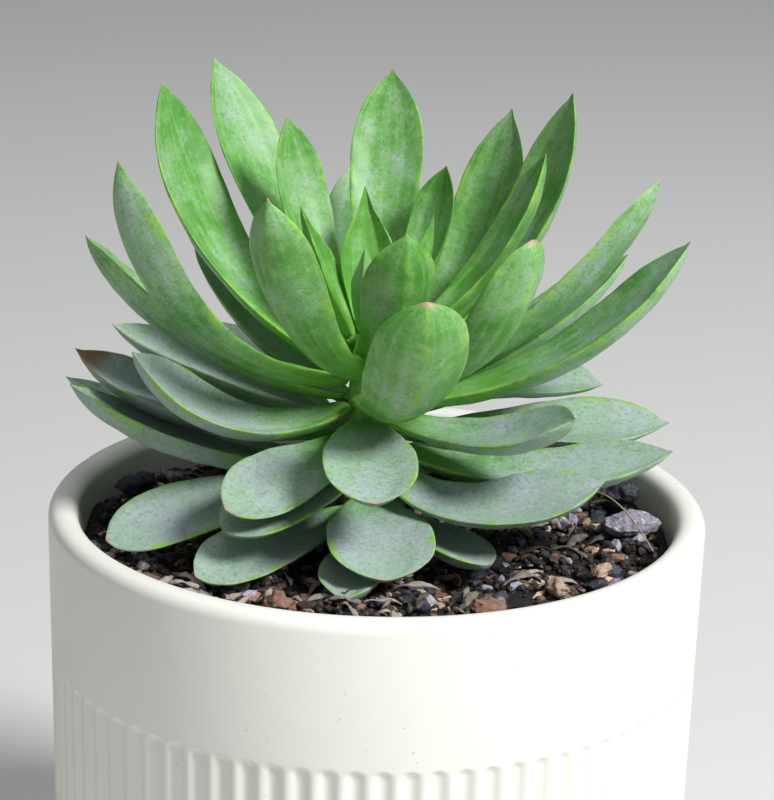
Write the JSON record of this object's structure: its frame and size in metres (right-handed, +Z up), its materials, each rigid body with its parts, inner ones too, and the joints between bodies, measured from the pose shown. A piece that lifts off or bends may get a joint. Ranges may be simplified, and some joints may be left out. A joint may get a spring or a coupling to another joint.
{
  "type": "potted echeveria",
  "caption": "Echeveria rosette with thick, pointed, powdery blue-green leaves, growing in gritty mix in a round cream ceramic pot with a plain band above fine vertical flutes",
  "frame": {"origin": "centre of the pot's foot, on the plane it stands on", "axes": "+Z up along the pot's axis; -Y is the front, the side with the lowest leaves over the rim; +X is the viewer's right"},
  "size_m": [0.11, 0.11, 0.1685],
  "materials": {
    "pot": "satin cream glaze",
    "potting_mix": "rough and gritty",
    "stem": "matte and corky",
    "leaf": "living leaf with a powdery bloom",
    "young_leaf": "smooth living leaf",
    "bark": "rough bark",
    "tan_chip": "rough wood",
    "porous_stone": "porous lava",
    "charcoal": "matte charcoal"
  },
  "bodies": {
    "root": {"pot": "pot", "stem_with_roots": "stem", "potting_mix": "potting_mix", "ground_leaf_1": "leaf", "ground_leaf_2": "leaf", "ground_leaf_3": "leaf", "ground_leaf_4": "leaf", "ground_leaf_5": "leaf", "ground_leaf_6": "leaf", "ground_leaf_7": "leaf", "ground_leaf_8": "leaf", "ground_leaf_9": "leaf", "lower_leaf_1": "leaf", "lower_leaf_2": "leaf", "lower_leaf_3": "leaf", "lower_leaf_4": "leaf", "lower_leaf_5": "leaf", "lower_leaf_6": "leaf", "lower_leaf_7": "leaf", "lower_leaf_8": "leaf", "lower_leaf_9": "leaf", "lower_leaf_10": "leaf", "lower_leaf_11": "leaf", "lower_leaf_12": "leaf", "lower_leaf_13": "leaf", "lower_leaf_14": "leaf", "outer_leaf_1": "leaf", "outer_leaf_2": "leaf", "outer_leaf_3": "leaf", "outer_leaf_4": "leaf", "outer_leaf_5": "leaf", "outer_leaf_6": "leaf", "outer_leaf_7": "leaf", "outer_leaf_8": "leaf", "middle_leaf_1": "leaf", "middle_leaf_2": "leaf", "middle_leaf_3": "leaf", "middle_leaf_4": "leaf", "middle_leaf_5": "leaf", "middle_leaf_6": "leaf", "middle_leaf_7": "leaf", "middle_leaf_8": "leaf", "inner_leaf_1": "young_leaf", "inner_leaf_2": "young_leaf", "inner_leaf_3": "young_leaf", "inner_leaf_4": "young_leaf", "heart_leaf_1": "young_leaf", "heart_leaf_2": "young_leaf", "heart_leaf_3": "young_leaf", "heart_leaf_4": "young_leaf", "porous_stone": "porous_stone", "charcoal_lump": "charcoal", "bark_chip_1": "bark", "bark_chip_2": "bark", "bark_chip_3": "bark", "tan_chip_1": "tan_chip", "tan_chip_2": "tan_chip", "dark_stone": "charcoal"}
  },
  "joints": []
}
